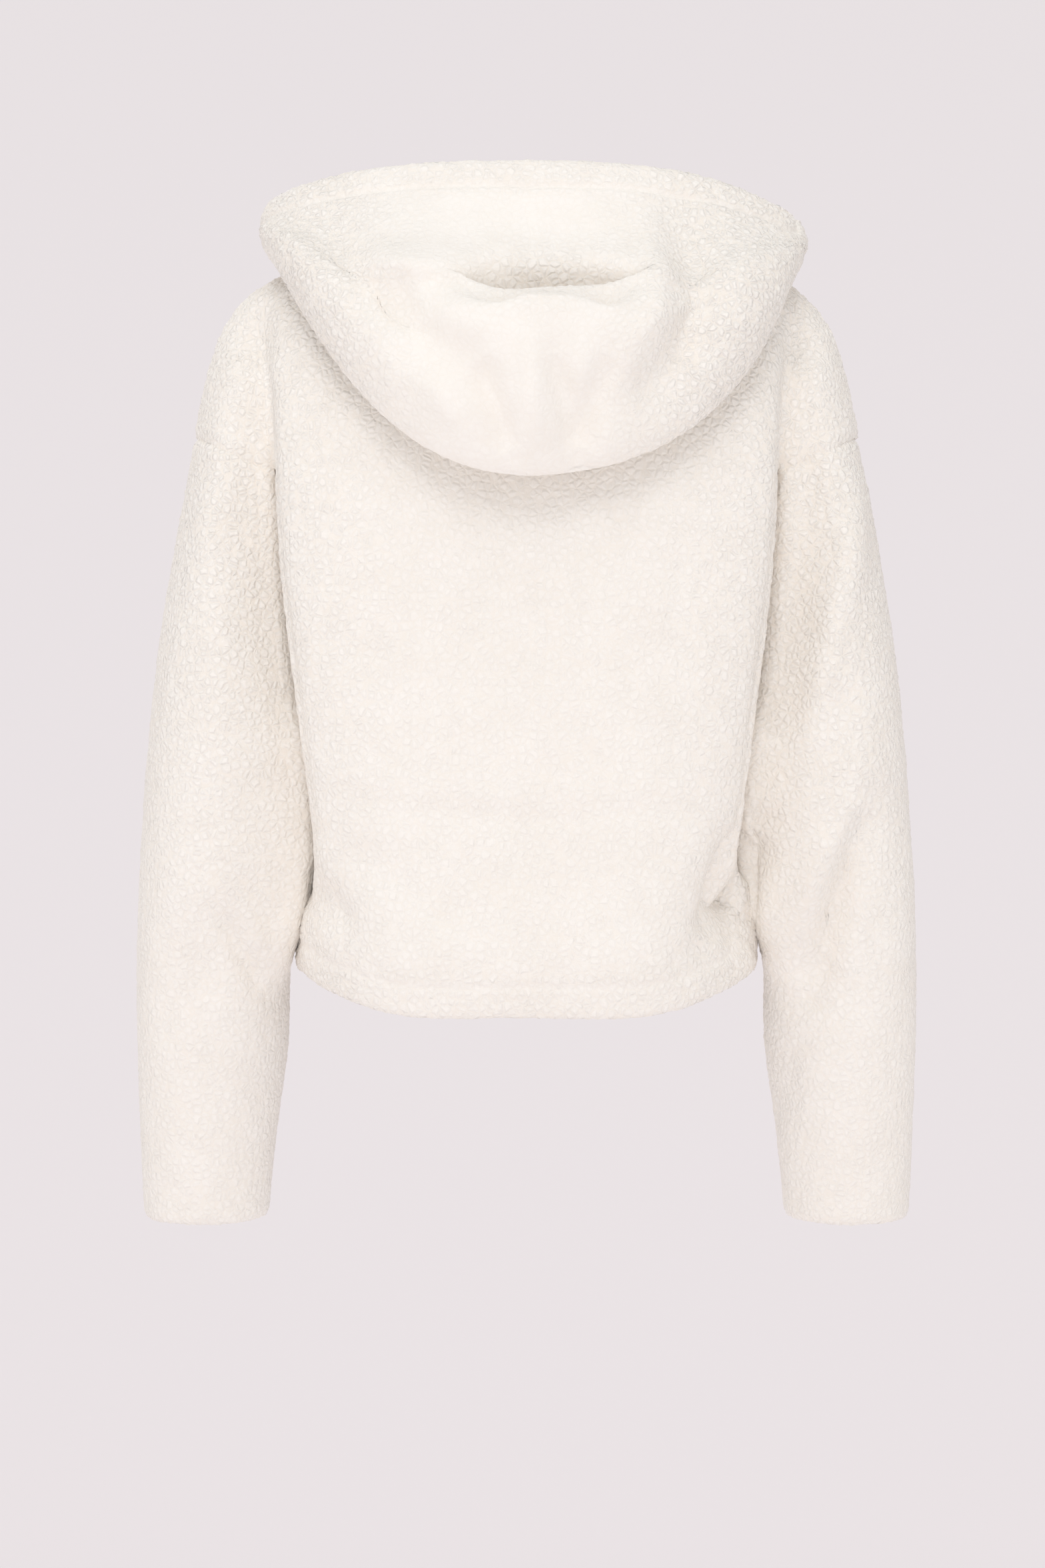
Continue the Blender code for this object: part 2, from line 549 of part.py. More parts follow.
def make_hood(name, side, fleece):
    """Half the hood, thrown back: one column of points for each place round the neck, from neck seam to rim."""
    columns = []
    for turn in HOOD_TURNS:
        knots = [neckline(turn) + (0, 0, HOOD_NECK_GAP)]
        knots += [hood_line(line, turn, side) for line in HOOD_LINES]
        steps = [even(n) for n in HOOD_ROW_STEPS]
        before = knots[0] - (0, 0, 0.01)
        columns.append(spline_through(knots, steps, before, 2 * knots[-1] - knots[-2]))
    grid = np.array(columns).transpose(1, 0, 2)
    grid[:, -1, 0] = SEAM_GAP / 2
    middle = sum(HOOD_ROW_STEPS[:4])
    out = outward_normals(grid, (middle, len(HOOD_TURNS) - 1, (0, 1, 0)), flat_axis=0, passes=2)
    add_wall(name, on_side(grid, side), on_side(out, side), fleece)


def add_blocks(name, boxes, place, finish):
    """One solid from boxes that share faces. place turns x, t and n into a point of the jacket."""
    breaks = [sorted({v for box in boxes for v in box[2 * k:2 * k + 2]}) for k in range(3)]
    counts = [len(b) - 1 for b in breaks]

    def filled(cell):
        if any(c < 0 or c >= n for c, n in zip(cell, counts)):
            return False
        middle = [(b[c] + b[c + 1]) / 2 for b, c in zip(breaks, cell)]
        return any(all(box[2 * k] < middle[k] < box[2 * k + 1] for k in range(3)) for box in boxes)

    index, points, faces = {}, [], []
    cells = [(i, j, k) for i in range(counts[0]) for j in range(counts[1]) for k in range(counts[2])]
    for cell in filter(filled, cells):
        for axis in range(3):
            for end in (0, 1):
                beyond = list(cell)
                beyond[axis] += 2 * end - 1
                if filled(beyond):
                    continue
                u, v = (axis + 1) % 3, (axis + 2) % 3
                face = []
                for du, dv in ((0, 0), (1, 0), (1, 1), (0, 1)):
                    corner = list(cell)
                    corner[axis] += end
                    corner[u] += du
                    corner[v] += dv
                    key = tuple(corner)
                    if key not in index:
                        index[key] = len(points)
                        points.append(place(*[b[c] for b, c in zip(breaks, key)]))
                    face.append(index[key])
                faces.append(face if end else face[::-1])
    return add_solid(name, points, faces, finish)


def strip_frame(line, normals, row):
    """Places x, t and n at a row of the centre front, with t along the line's own direction there."""
    origin = point(0, *line[row, 1:])
    along = line[row + 1] - line[row] if row < len(line) - 1 else line[row] - line[row - 1]
    along = point(0, *along[1:]) / np.linalg.norm(along[1:])
    out = point(0, along[2], -along[1])
    return lambda x, t, n: origin + point(x, 0, 0) + t * along + n * out


def make_zip(front, metal, tape):
    """The closed strip of tapes and teeth, its retaining box at the hem, the slider and its pull tab."""
    line = front[STRIP_TOP_ROW:, 0]
    edge = ZIP_EDGE_X - STRIP_SIDE_GAP
    back_n, tape_n = TAPE
    section = (
        (-edge, back_n), (edge, back_n), (edge, tape_n), (CHAIN_HALF, tape_n), (CHAIN_HALF, CHAIN_FRONT),
        (-CHAIN_HALF, CHAIN_FRONT), (-CHAIN_HALF, tape_n), (-edge, tape_n),
    )
    out = outward_normals(front, (12, 0, (0, -1, 0)))[STRIP_TOP_ROW:, 0] * (0, 1, 1)
    out /= np.linalg.norm(out, axis=1, keepdims=True)
    points = [point(x, *p[1:]) + n * o for p, o in zip(line, out) for x, n in section]
    size, last = len(section), len(line) - 1
    faces = [
        [r * size + k, r * size + (k + 1) % size, (r + 1) * size + (k + 1) % size, (r + 1) * size + k]
        for r in range(last) for k in range(size)
    ]
    for r, flip in ((0, 1), (last, -1)):
        ends = [[0, 7, 6, 3, 2, 1], [3, 6, 5, 4]]
        faces += [[r * size + k for k in f[::flip]] for f in ends]
    add_solid("zip_strip", points, faces, tape)
    top = strip_frame(line, out, 0)
    add_blocks("zip_slider", SLIDER_BOXES, top, metal)
    add_blocks("zip_pull_tab", PULL_BOXES, top, metal)
    add_blocks("zip_box", BOTTOM_BOXES, strip_frame(line, out, last), metal)


def clear_scene():
    for thing in list(bpy.data.objects):
        bpy.data.objects.remove(thing)


clear_scene()
FLEECE = material("fleece", (0.90, 0.86, 0.80), 0.95)
METAL = material("zip_metal", (0.72, 0.71, 0.69), 0.35, 1.0)
TAPE_CLOTH = material("zip_tape", (0.86, 0.82, 0.76), 0.85)
FRONT = make_body_and_sleeves(FLEECE)
for hood_name, hood_side in (("hood_left", 1), ("hood_right", -1)):
    make_hood(hood_name, hood_side, FLEECE)
make_zip(FRONT, METAL, TAPE_CLOTH)
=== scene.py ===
"""Looks of a cropped zip-up hooded jacket in cream curled fleece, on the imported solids' own frame.

Metres, +Z up, the front towards -Y. The picture is taken from behind, so the camera stands at +Y.
"""

import math
from collections import namedtuple

import bmesh
import bpy
import numpy as np
from mathutils import Matrix, Vector
from mathutils.kdtree import KDTree


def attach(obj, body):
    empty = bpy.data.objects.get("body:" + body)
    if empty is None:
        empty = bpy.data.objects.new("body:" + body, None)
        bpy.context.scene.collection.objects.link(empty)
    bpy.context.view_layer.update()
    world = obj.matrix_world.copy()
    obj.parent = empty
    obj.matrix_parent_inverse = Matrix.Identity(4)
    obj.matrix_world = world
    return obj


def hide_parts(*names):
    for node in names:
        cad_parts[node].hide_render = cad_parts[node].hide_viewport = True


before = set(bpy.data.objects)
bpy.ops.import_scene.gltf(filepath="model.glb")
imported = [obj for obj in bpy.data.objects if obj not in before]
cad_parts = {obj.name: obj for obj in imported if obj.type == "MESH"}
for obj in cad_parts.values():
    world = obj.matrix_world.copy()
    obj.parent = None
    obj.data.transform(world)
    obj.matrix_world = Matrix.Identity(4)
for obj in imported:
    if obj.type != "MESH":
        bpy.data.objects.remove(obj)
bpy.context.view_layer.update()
bpy.ops.object.select_all(action="DESELECT")

# Camera: level, square on to the jacket's back, and a little below its middle.
# A long portrait lens, in an upright frame whose long side takes the whole width of the sensor.
CAMERA_PLACE = (0.00264, 2.4436, -0.322)
LENS_MM = 85
SENSOR_MM = 36
SEEN_AWAY = 30
bpy.ops.object.camera_add(location=CAMERA_PLACE, rotation=(math.pi / 2, 0, math.pi))
camera = bpy.context.object
camera.name = "camera"
camera.data.lens = LENS_MM
camera.data.sensor_width = SENSOR_MM
camera.data.clip_end = SEEN_AWAY
bpy.context.scene.camera = camera


class Socket:
    """A node socket that Python's operators work on."""

    def __init__(self, tree, link):
        self.tree = tree
        self.link = link

    def of(self, kind, settings=None, output=0, **inputs):
        """One output of a new node: its settings, then values or sockets for its inputs by name or number."""
        made = self.tree.nodes.new(kind)
        for name, value in (settings or {}).items():
            setattr(made, name, value)
        for name, value in inputs.items():
            name = name.replace("_", " ")
            socket = made.inputs[int(name[1:])] if name[1:].isdigit() else made.inputs[name]
            if isinstance(value, Socket):
                self.tree.links.new(value.link, socket)
            else:
                socket.default_value = value
        return Socket(self.tree, made.outputs[output])

    def math(self, operation, a, b):
        return self.of("ShaderNodeMath", {"operation": operation}, i0=a, i1=b)

    def __add__(self, other):
        return self.math("ADD", self, other)

    def __sub__(self, other):
        return self.math("SUBTRACT", self, other)

    def __mul__(self, other):
        return self.math("MULTIPLY", self, other)

    def __rsub__(self, other):
        return self.math("SUBTRACT", other, self)

    def between(self, low, high):
        """0 below low, 1 above high, and smooth from one to the other."""
        smooth = {"interpolation_type": "SMOOTHSTEP"}
        return self.of("ShaderNodeMapRange", smooth, Value=self, From_Min=low, From_Max=high)

    def tint(self, first, second):
        """A colour between two colours, by this mask."""
        return self.of("ShaderNodeMix", {"data_type": "RGBA"}, output=2, i0=self, i6=first, i7=second)

    def noise(self, scale, detail, output=0, **inputs):
        return self.of("ShaderNodeTexNoise", output=output, Vector=self, Scale=scale, Detail=detail, **inputs)

    def waves(self, direction, scale, **inputs):
        """Fine parallel lines across X, Z or DIAGONAL."""
        way = {"bands_direction": direction}
        return self.of("ShaderNodeTexWave", way, Vector=self, Scale=scale, **inputs)

    def cells(self, feature, scale, **inputs):
        return self.of("ShaderNodeTexVoronoi", {"feature": feature}, Vector=self, Scale=scale, **inputs)


def new_material(name, **sockets):
    """A Principled material with its flat values set, its start socket and its shader node."""
    made = bpy.data.materials.new(name)
    made.use_nodes = True
    shader = made.node_tree.nodes["Principled BSDF"]
    for key, value in sockets.items():
        shader.inputs[key.replace("_", " ")].default_value = value
    place = made.node_tree.nodes.new("ShaderNodeTexCoord")
    return made, Socket(made.node_tree, place.outputs["Object"]), shader


def connect(value, shader, name):
    value.tree.links.new(value.link, shader.inputs[name])


def emboss(height, shader, strength, depth):
    """Gives a shader a relief as deep as depth metres where the height goes from 0 to 1."""
    connect(height.of("ShaderNodeBump", Strength=strength, Distance=depth, Height=height), shader, "Normal")


# Curled fleece: a knitted back with a cream pile, tumbled into soft nubs 3.5 to 5 mm across.
# The nubs stand on every outside, and part in thin cracks that are tinted warm and darker as painted shade.
# The inside shows the smooth knitted back.
# Each outer point keeps its nub's height, with painted shade along its seams, as pile, and its share of the
# pile's full length as nap.
NUB = 0.0050
SMALL_NUB = 0.0034
NUB_HEIGHT = 0.0010
SMALL_HEIGHT = 0.0010
SWELL = 0.0012
SWELL_WIDE = 0.017
WALL = 0.0035
WALL_MATCH = 4e-6
PATCH_SCALE = 38.0
CURL_SCALE = 205.0
RINGLET_SCALE = 400.0
FIBRE_SCALE = 1100.0
WANDER = 0.0022
CREAM = (0.950, 0.908, 0.858, 1)
PALE_CREAM = (0.968, 0.930, 0.884, 1)
# the warm darker colour of the painted shade in the cracks
CRACK_SHADE_COLOUR = (0.87, 0.775, 0.665, 1)

fleece, where, shader = new_material(
    "cream_fleece", Roughness=0.95, Sheen_Weight=0.12, Sheen_Roughness=0.6, Specular_IOR_Level=0.1
)
pile = where.of("ShaderNodeAttribute", {"attribute_name": "pile"}, output=2)
nap = where.of("ShaderNodeAttribute", {"attribute_name": "nap"}, output=2)
patches = where.noise(PATCH_SCALE, 3.0, Roughness=0.6)
fibres = where.noise(FIBRE_SCALE, 3.0, Roughness=0.7)
wander = where.noise(150.0, 2.0, output=1)
bent = where.of("ShaderNodeMix", {"data_type": "VECTOR"}, output=1, i0=WANDER, i4=where, i5=wander)
curls = bent.cells("DISTANCE_TO_EDGE", CURL_SCALE)
ringlets = bent.cells("SMOOTH_F1", RINGLET_SCALE, Smoothness=0.2)
broken = where.noise(120.0, 2.0).between(0.15, 0.50)
# Painted shade: the cracks between the nubs and the low parts of the pile, seams included, are tinted towards
# a warm darker colour, more so where the nap is longer.
painted_crack_shade = (1 - curls.between(0.0, 0.15)) * broken + (1 - pile.between(0.0, 0.32)) * 0.20
colour = patches.between(0.35, 0.65).tint(CREAM, PALE_CREAM)
shade = (painted_crack_shade * (nap - 0.20) * 0.55 + fibres * 0.04).tint(colour, CRACK_SHADE_COLOUR)
connect(shade, shader, "Base Color")
height = (curls.between(0.0, 0.34) - ringlets * 0.3) * nap * nap * 1.30 + fibres * 0.15
emboss(height, shader, 0.75, 0.0012)

backing, where, shader = new_material(
    "knitted_back", Roughness=0.9, Sheen_Weight=0.2, Specular_IOR_Level=0.2
)
knit = where.waves("Z", 260.0, Distortion=1.2) * where.waves("X", 300.0, Distortion=1.2)
connect(knit.tint((0.83, 0.775, 0.705, 1), (0.905, 0.855, 0.79, 1)), shader, "Base Color")
emboss(knit, shader, 0.3, 0.0005)


def cell_texture(name, size, nearest, second):
    """Cells of a size. The value adds a point's distances to the nearest and second centre, so weighed."""
    made = bpy.data.textures.new(name, type="VORONOI")
    made.noise_scale = size
    made.weight_1 = nearest
    made.weight_2 = second
    return made


# The nubs' value is 0 where two cells meet, and the domes' value is 0 at a cell's centre. Each nub's rise is
# read off a curve of those values, steep at the crack and flat on top.
NUB_VALUES = (0.0, 0.12, 0.35, 0.70)
NUB_RISES = (0.0, 0.40, 0.80, 1.0)
DOME_EDGE = 0.75
nub_cells = cell_texture("nub_cells", NUB, -1.0, 1.0)
small_domes = cell_texture("small_domes", SMALL_NUB, 1.0, 0.0)
swells = bpy.data.textures.new("swells", type="CLOUDS")
swells.noise_scale = SWELL_WIDE
swells.noise_depth = 2


def value_of(texture, places):
    return np.array([texture.evaluate(p)[3] for p in places])


def read(items, name, width=3, kind=float):
    """A numpy table of one property of all vertices, edges, loops or faces."""
    found = np.empty(len(items) * width, dtype=kind)
    items.foreach_get(name, found)
    return found.reshape(-1, width) if width > 1 else found


def deselect():
    for thing in bpy.context.selected_objects:
        thing.select_set(False)


def tree_of(places, chosen):
    """A tree that finds the nearest of the chosen points."""
    tree = KDTree(len(chosen))
    for v in chosen:
        tree.insert(places[v], v)
    tree.balance()
    return tree


# The material slots of a cut piece, how near to the centre plane counts as on it, how near two points count
# as one, and the least length.
OUTER, INNER, EDGE = 0, 1, 2
CENTRE = 0.0003
SAME = 1e-5
TINY = 1e-12


def slot_normals(mesh, slot):
    """Each point's normal from the faces of one slot alone, and 0 where it has none of them."""
    slots = read(mesh.polygons, "material_index", 1, np.int32)
    owner = np.repeat(np.arange(len(slots)), read(mesh.polygons, "loop_total", 1, np.int32))
    corners = read(mesh.loops, "vertex_index", 1, np.int32)
    chosen = slots[owner] == slot
    total = np.zeros((len(mesh.vertices), 3))
    weighed = read(mesh.polygons, "normal") * read(mesh.polygons, "area", 1)[:, None]
    np.add.at(total, corners[chosen], weighed[owner[chosen]])
    return total / np.maximum(np.linalg.norm(total, axis=1, keepdims=True), TINY)


def wall_ways(mesh):
    """The points, the way out of the cloth at each, that of its edge faces, and which points are outside.

    Both skins have the same way out, and on the centre plane it runs along that plane.
    """
    places = read(mesh.vertices, "co")
    outer, inner, edge = (slot_normals(mesh, slot) for slot in (OUTER, INNER, EDGE))
    out = np.where(np.abs(outer).sum(axis=1, keepdims=True) > 0, outer, -inner)
    lost = np.flatnonzero(np.abs(out).sum(axis=1) == 0)
    rim = np.flatnonzero((np.abs(outer).sum(axis=1) > 0) & (np.abs(edge).sum(axis=1) > 0))
    tree = tree_of(places, rim)
    for v in lost:
        out[v] = out[tree.find(places[v])[1]]
    out[np.abs(places[:, 0]) < CENTRE, 0] = 0
    outside = np.abs(inner).sum(axis=1) == 0
    return places, out, edge, outside


def wall_faces(bm):
    """The faces of a wall's edges, which hold an edge as long as the wall is thick, and its two skins."""
    across = {e for e in bm.edges if abs(e.calc_length() - WALL) < WALL_MATCH}
    rims = {f for f in bm.faces if any(e in across for e in f.edges)}
    skins, seen = [], set(rims)
    for start in bm.faces:
        if start in seen:
            continue
        skin, todo = [], [start]
        seen.add(start)
        while todo:
            face = todo.pop()
            skin.append(face)
            for edge in face.edges:
                for other in edge.link_faces:
                    if other not in seen:
                        seen.add(other)
                        todo.append(other)
        skins.append(skin)
    skins.sort(key=lambda s: -sum(f.calc_area() for f in s))
    return rims, skins


# A fold along a broken line. It fades out at its ends, where the cloth faces away, and over BEHIND_FADE.
Fold = namedtuple("Fold", "points half_width depth")
END_SHARE = 0.03
FACING = 6
BEHIND_FADE = 0.03


def bell(distance, half_width):
    return np.exp(-((distance / half_width) ** 2))


def along_line(points, places):
    """How far each point is from a broken line, and how far along the line it lies, from 0 to 1.

    A line of (x, z) pairs is one that is seen from behind, so the distance across the depth doesn't count.
    """
    line = np.array(points, float)
    if line.shape[1] == 2:
        places = places[:, (0, 2)]
    spans = np.linalg.norm(np.diff(line, axis=0), axis=1)
    reach = np.concatenate([[0], np.cumsum(spans)]) / spans.sum()
    best = np.full(len(places), np.inf)
    share = np.zeros(len(places))
    for a, b, low, high in zip(line, line[1:], reach, reach[1:]):
        t = np.clip((places - a) @ (b - a) / ((b - a) @ (b - a)), 0, 1)
        away = np.linalg.norm(places - (a + t[:, None] * (b - a)), axis=1)
        nearer = away < best
        best[nearer] = away[nearer]
        share[nearer] = (low + (high - low) * t)[nearer]
    return best, share


def press_folds(piece, folds, behind=-1.0):
    """Presses long soft troughs into both skins of a piece, or raises ridges where the depth is negative.

    A fold seen from behind, a line of pairs, leaves cloth alone that faces away. What lies less far back
    than behind is left as it is.
    """
    mesh = piece.data
    places, out, _, _ = wall_ways(mesh)
    for fold in folds:
        away, share = along_line(fold.points, places)
        fade = np.sin(np.pi * np.clip(share, END_SHARE, 1 - END_SHARE)) ** 0.5
        weight = np.clip(out[:, 1] * FACING, 0, 1) if len(fold.points[0]) == 2 else 1.0
        weight = weight * np.clip((places[:, 1] - behind) / BEHIND_FADE, 0, 1)
        places -= out * (fold.depth * fade * bell(away, fold.half_width) * weight)[:, None]
    mesh.vertices.foreach_set("co", places.ravel())
    mesh.update()


Pull = namedtuple("Pull", "points half_width way")


def pull_cloth(piece, pulls, held=0.0):
    """Moves the cloth round each line by a vector. Within held of the piece's edges it moves less."""
    mesh = piece.data
    places = read(mesh.vertices, "co")
    hold = np.clip(edge_distance(mesh, places) / held, 0, 1) if held else 1.0
    for pull in pulls:
        away, _ = along_line(pull.points, places)
        places += (bell(away, pull.half_width) * hold)[:, None] * np.array(pull.way)
    mesh.vertices.foreach_set("co", places.ravel())
    mesh.update()


SMOOTH_LEVELS = 2
CORNER_ANGLE = 0.9
FLAT_ANGLE = 1.2
SHAPE_ANGLE = 1.9


def cut_piece(node, cuts, hidden=None):
    """A smooth fine copy of a node's cloth, with a slot for its outer skin, its inner skin and its edges.

    Both skins are smoothed, and the outer one is cut finer, but not where it is hidden.
    """
    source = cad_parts[node]
    piece = source.copy()
    piece.data = source.data.copy()
    piece.name = node + "_fleece"
    bpy.context.scene.collection.objects.link(piece)
    piece.data.materials.clear()
    for material in (fleece, backing, fleece):
        piece.data.materials.append(material)
    bm = bmesh.new()
    bm.from_mesh(piece.data)
    bmesh.ops.remove_doubles(bm, verts=bm.verts, dist=SAME)
    rims, skins = wall_faces(bm)
    creased = bm.edges.layers.float.new("crease_edge")
    for face in bm.faces:
        face.material_index = EDGE if face in rims else OUTER
        face.smooth = True
    for face in skins[1]:
        face.material_index = INNER
    for edge in bm.edges:
        sides = [f in rims for f in edge.link_faces]
        if sides.count(True) == 1 or (all(sides) and edge.calc_face_angle(0) > CORNER_ANGLE):
            edge[creased] = 1.0
    bmesh.ops.join_triangles(
        bm, faces=[f for f in bm.faces if f not in rims],
        angle_face_threshold=FLAT_ANGLE, angle_shape_threshold=SHAPE_ANGLE,
    )
    bm.to_mesh(piece.data)
    bm.free()
    deselect()
    piece.select_set(True)
    bpy.context.view_layer.objects.active = piece
    smooth = piece.modifiers.new("smooth", "SUBSURF")
    smooth.levels = smooth.render_levels = SMOOTH_LEVELS
    bpy.ops.object.modifier_apply(modifier="smooth")
    for face in piece.data.polygons:
        face.select = face.material_index != INNER and not (hidden and hidden(face.center))
    bpy.ops.object.mode_set(mode="EDIT")
    bpy.ops.mesh.select_mode(type="FACE")
    bpy.ops.mesh.subdivide(number_cuts=cuts, smoothness=0.0, ngon=True)
    bpy.ops.object.mode_set(mode="OBJECT")
    return piece


def edge_distance(mesh, places, wanted=None):
    """How far each point is from the outer corner of its piece's cut edges, or from those that are wanted."""
    outer, edge = (np.abs(slot_normals(mesh, slot)).sum(axis=1) > 0 for slot in (OUTER, EDGE))
    border = np.flatnonzero(outer & edge)
    if wanted is not None:
        border = border[wanted(places[border])]
    tree = tree_of(places, border)
    return np.array([tree.find(p)[2] for p in places])


# How the pile meets the cut edges: sunk at them over EDGE_REACH, and darkened with painted seam shade over a
# narrower reach.
SEAM_SINK = 0.0020
SEAM_CLOSING = 0.00035
FREE_EDGE_SINK = 0.0013
EDGE_REACH = 0.0028
SEAM_SHADE_REACH = 0.0016
ROW_HALF_WIDTH = 0.0023
ROW_HOLD = 250
LEAST_NAP = 0.05


def raise_pile(piece, free, nap_share, rows=(), seam=SEAM_SINK):
    """Tumbles the pile up into nubs, and keeps each point's height, with painted seam shade, for the painted
    shade of the cracks.

    free says which points are near a free edge, which is rounded over. At the other edges, which are sewn,
    the pile sinks by seam and the two pieces meet. nap_share is the share of the pile's height that stands
    at each point. A row is a stitched row that holds the pile down: which edge it follows, how far inside
    that edge it runs, and how deep it is.
    """
    mesh = piece.data
    places, out, edge, outside = wall_ways(mesh)
    weight = outside * np.clip(nap_share(places), LEAST_NAP, 1.0)
    loose = free(places)
    on_edge = np.abs(edge).sum(axis=1) > 0
    away = edge_distance(mesh, places)
    sunk = outside * bell(away, EDGE_REACH) * np.where(loose, FREE_EDGE_SINK, seam)
    places = places - out * sunk[:, None] + edge * (on_edge & ~loose)[:, None] * SEAM_CLOSING
    for wanted, inset, depth in rows:
        pressed = bell(edge_distance(mesh, places, wanted) - inset, ROW_HALF_WIDTH) * outside
        places = places - out * (depth * pressed)[:, None]
        weight = weight * (1 - ROW_HOLD * depth * pressed)
    way = np.where((on_edge & loose)[:, None], out * (away[:, None] < SAME) + edge, out)
    way /= np.maximum(np.linalg.norm(way, axis=1, keepdims=True), TINY)
    risen = np.flatnonzero(weight > 0)
    nubs = np.interp(value_of(nub_cells, places[risen]), NUB_VALUES, NUB_RISES)
    small = 1 - np.clip(value_of(small_domes, places[risen]) / DOME_EDGE, 0, 1) ** 2
    swell = value_of(swells, places[risen])
    lift = NUB_HEIGHT * nubs + SMALL_HEIGHT * small
    places[risen] += way[risen] * (weight[risen] * (lift + SWELL * swell))[:, None]
    mesh.vertices.foreach_set("co", places.ravel())
    pile_height_and_seam_shade = np.ones(len(places))
    pile_height_and_seam_shade[risen] = lift / (NUB_HEIGHT + SMALL_HEIGHT)
    # Painted shade: the tone darkens along sewn edges, where a seam's valley would be, and the cracks there
    # tint darker.
    pile_height_and_seam_shade *= 1 - bell(away, SEAM_SHADE_REACH) * (~loose) * min(seam / SEAM_SINK, 1.0)
    for name, values in (("pile", pile_height_and_seam_shade), ("nap", weight)):
        mesh.attributes.new(name, "FLOAT", "POINT").data.foreach_set("value", values)
    outer = np.abs(slot_normals(mesh, OUTER)).sum(axis=1) > 0
    corner = outer & on_edge & ~loose
    ends = read(mesh.edges, "vertices", 2, np.int32)
    for index in np.flatnonzero(corner[ends[:, 0]] & corner[ends[:, 1]]):
        mesh.edges[index].use_edge_sharp = True
    slots = read(mesh.polygons, "material_index", 1, np.int32)
    slots[slots == EDGE] = OUTER
    mesh.polygons.foreach_set("material_index", slots)
    mesh.materials.pop(index=EDGE)
    mesh.update()


def finish_piece(piece, node):
    """Rides a cloth piece on the jacket in its node's place, and hides the node's own solid."""
    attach(piece, "jacket")
    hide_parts(node)


# Back: one panel from hem to neckline that runs out over both shoulders. Its hem is turned up and stitched
# 20 mm above the edge. It falls in two long soft folds beside the sleeves, and tucks in at both hips.
HEM_INSET = 0.020
HEM_ROW_DEPTH = 0.0008
HEM_TOP = -0.425
HEM_ROW_TOP = -0.415
ON_SEAM = 0.0008


def under_hood(p):
    """The part of the back that the hood covers, up to the neckline's curve. It stays coarse."""
    return abs(p.x) < 0.11 and p.z > -0.07 - abs(p.x) * 0.1 + p.x * p.x * 8


def is_body_hem(p):
    """Near the hem's free edge, but not where the back and the fronts are sewn together at the side."""
    return (p[:, 2] < HEM_TOP) & (np.abs(p[:, 1]) > ON_SEAM)


def is_hem_edge(p):
    """The cut edge that the hem's stitched row follows."""
    return (p[:, 2] < HEM_ROW_TOP) & (np.abs(p[:, 1]) > 0.004)


def back_nap(p):
    """Longer towards the sleeves and in the hem."""
    return 0.60 + 0.18 * np.clip((np.abs(p[:, 0]) - 0.08) / 0.07, 0, 1) + 0.05 * (p[:, 2] < -0.44)


# The folds of the back and of both sleeves, in one table, so that a fold runs on over a seam.
BODY_FOLDS = (
    # the back: the tuck over each hip, with the fold's edge beside it
    Fold(((0.136, -0.382), (0.123, -0.402), (0.110, -0.416)), 0.010, 0.0075),
    Fold(((-0.138, -0.338), (-0.128, -0.374), (-0.110, -0.408)), 0.006, -0.0050),
    Fold(((-0.146, -0.350), (-0.132, -0.388), (-0.116, -0.424)), 0.016, 0.0230),
    Fold(((-0.140, -0.400), (-0.134, -0.436)), 0.010, 0.005),
    # and its shallow drags
    Fold(((0.122, -0.356), (0.075, -0.386), (0.035, -0.411)), 0.011, 0.0026),
    Fold(((0.130, -0.328), (0.080, -0.337), (-0.004, -0.345), (-0.103, -0.337), (-0.128, -0.328)),
         0.008, 0.0013),
    Fold(((0.128, -0.312), (0.080, -0.322), (-0.004, -0.330), (-0.103, -0.322)), 0.009, -0.0012),
    Fold(((0.130, -0.232), (0.085, -0.242)), 0.007, 0.0014),
    Fold(((-0.100, -0.170), (-0.092, -0.260)), 0.016, 0.0018),
    Fold(((0.090, -0.180), (0.098, -0.270)), 0.016, 0.0016),
    Fold(((-0.088, -0.424), (-0.100, -0.446)), 0.004, 0.0020),
    Fold(((-0.070, -0.428), (-0.078, -0.446)), 0.003, 0.0014),
    Fold(((0.104, -0.426), (0.116, -0.444)), 0.004, 0.0018),
    # the broad hollow between the back's edge and each sleeve
    Fold(((0.182, -0.030), (0.177, -0.098), (0.171, -0.161), (0.163, -0.225), (0.152, -0.290),
          (0.142, -0.350)), 0.013, 0.0060),
    Fold(((-0.180, -0.050), (-0.180, -0.120), (-0.177, -0.163), (-0.170, -0.205), (-0.162, -0.247),
          (-0.153, -0.300), (-0.147, -0.340)), 0.015, 0.0080),
    # left sleeve
    Fold(((0.206, -0.110), (0.202, -0.200), (0.192, -0.330)), 0.012, -0.0030),
    Fold(((0.197, -0.402), (0.186, -0.428), (0.170, -0.460)), 0.007, 0.0060),
    Fold(((0.186, -0.392), (0.172, -0.430)), 0.008, -0.0020),
    Fold(((0.214, -0.420), (0.206, -0.560)), 0.014, 0.0020),
    # right sleeve: one long fold and a strong slanting one
    Fold(((-0.212, -0.130), (-0.206, -0.180), (-0.196, -0.235), (-0.184, -0.290)), 0.011, -0.0085),
    Fold(((-0.226, -0.334), (-0.210, -0.372), (-0.196, -0.411), (-0.184, -0.460)), 0.013, 0.0170),
    Fold(((-0.205, -0.345), (-0.191, -0.378), (-0.180, -0.412)), 0.009, -0.0045),
    Fold(((-0.216, -0.400), (-0.204, -0.450)), 0.009, -0.0030),
    Fold(((-0.168, -0.548), (-0.174, -0.490)), 0.009, 0.0030),
)
# The back and the sleeves also share these: they fill the grooves between them and tuck in the right hip.
BODY_PULLS = (
    Pull(((-0.138, 0.060, -0.372), (-0.126, 0.060, -0.410)), 0.014, (0.002, -0.012, 0)),
    Pull(((0.178, 0.040, -0.060), (0.168, 0.037, -0.170), (0.155, 0.032, -0.290)), 0.020, (0, 0.012, 0)),
    Pull(((-0.178, 0.040, -0.060), (-0.170, 0.037, -0.170), (-0.158, 0.030, -0.290)), 0.020, (0, 0.012, 0)),
)
